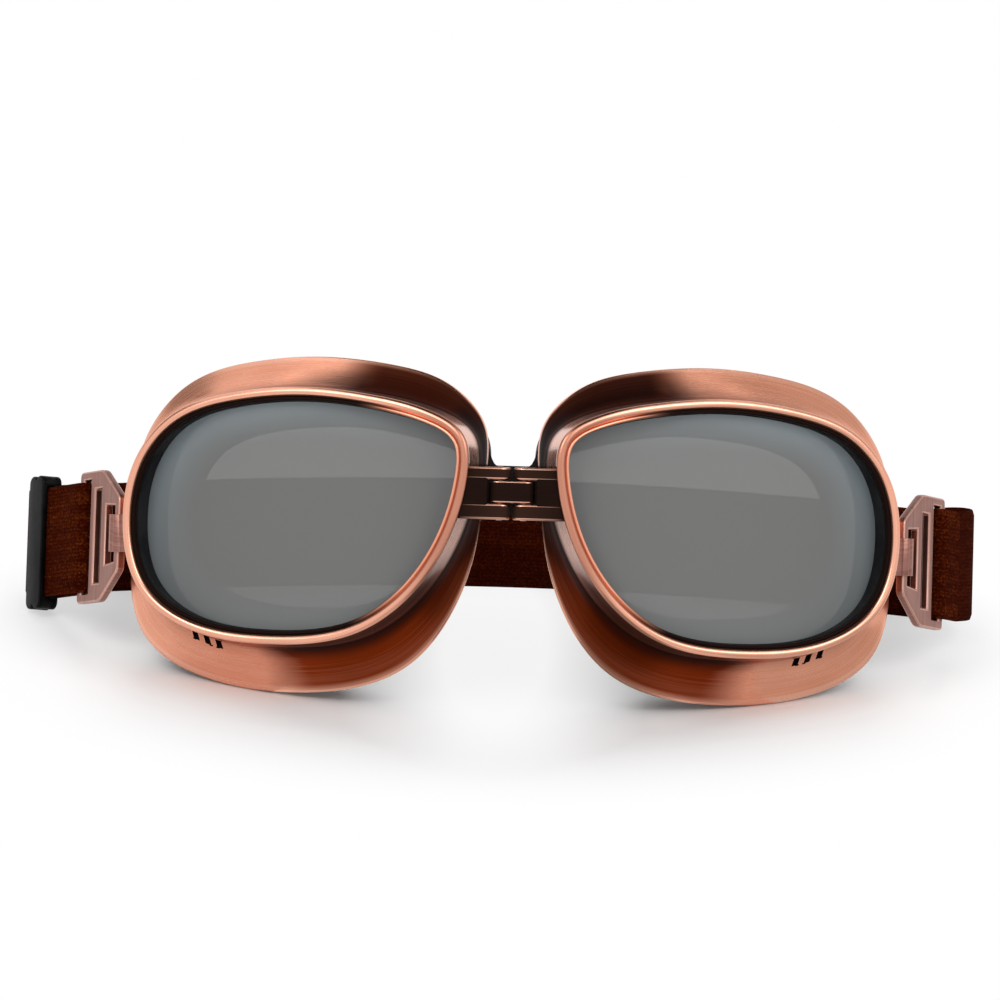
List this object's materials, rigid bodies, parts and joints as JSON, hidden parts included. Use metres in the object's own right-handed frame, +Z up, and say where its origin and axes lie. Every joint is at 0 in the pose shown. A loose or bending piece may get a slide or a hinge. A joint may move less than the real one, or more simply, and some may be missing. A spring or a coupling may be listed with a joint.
{
  "type": "aviator goggles",
  "caption": "Folding-bridge goggles with flared copper-plated eyecups, smoke grey lenses, black padded seals, swinging strap buckles and a brown elastic strap with a slider.",
  "frame": {"origin": "middle of the whole object's footprint, on the surface it rests on", "axes": "+X to the viewer's right along the goggles' width, +Y back from the lenses to the strap, +Z up"},
  "size_m": [0.2206, 0.0986, 0.0734],
  "materials": {
    "copper_plate": "brushed antique copper plating",
    "smoke_lens": "smoke grey clear lens",
    "black_rubber": "satin black",
    "black_plastic": "satin black moulding",
    "foam": "open cell foam",
    "black_leather": "grained synthetic leather",
    "brown_elastic": "woven elastic webbing"
  },
  "bodies": {
    "left_eyecup": {"left_frame": "copper_plate", "left_lens": "smoke_lens", "left_lens_gasket": "black_rubber", "left_inner_frame": "black_plastic", "left_pad_foam": "foam", "left_pad_leather": "black_leather", "left_strap_loop": "copper_plate", "left_loop_rivets": "copper_plate", "nose_bridge": "black_leather", "strap_rear": "brown_elastic"},
    "bridge": {"bridge_link": "copper_plate", "left_bridge_pin": "copper_plate", "right_bridge_pin": "copper_plate"},
    "right_eyecup": {"right_frame": "copper_plate", "right_lens": "smoke_lens", "right_lens_gasket": "black_rubber", "right_inner_frame": "black_plastic", "right_pad_foam": "foam", "right_pad_leather": "black_leather", "right_strap_loop": "copper_plate", "right_loop_rivets": "copper_plate"},
    "left_buckle_body": {"left_buckle": "copper_plate", "left_strap_end": "brown_elastic"},
    "right_buckle_body": {"right_buckle": "copper_plate", "right_strap_end": "brown_elastic"},
    "slider_body": {"strap_slider": "black_plastic"}
  },
  "joints": [
    {"name": "left_bridge_pivot", "type": "hinge", "parent": "left_eyecup", "child": "bridge", "pos_m": [0.00022, -0.04103, 0.05414], "axis": [0, 0.3746, 0.9272], "range_deg": [-12, 6], "deforming": ["strap_rear", "nose_bridge"]},
    {"name": "right_bridge_pivot", "type": "hinge", "parent": "bridge", "child": "right_eyecup", "pos_m": [0.00562, -0.04103, 0.05414], "axis": [0, 0.3746, 0.9272], "range_deg": [-12, 6], "deforming": ["strap_rear", "nose_bridge"]},
    {"name": "left_buckle_swing", "type": "hinge", "parent": "left_eyecup", "child": "left_buckle_body", "pos_m": [-0.08639, -0.00917, 0.02908], "axis": [0, 0.454, 0.891], "range_deg": [-27, 30], "deforming": ["strap_rear"]},
    {"name": "right_buckle_swing", "type": "hinge", "parent": "right_eyecup", "child": "right_buckle_body", "pos_m": [0.09224, -0.00917, 0.02908], "axis": [0, 0.454, 0.891], "range_deg": [-26, 26], "deforming": ["strap_rear"]},
    {"name": "slider_travel", "type": "slide", "parent": "left_buckle_body", "child": "slider_body", "axis": [-0.5, 0.7716, -0.3932], "range_m": [-0.008, 0]}
  ]
}
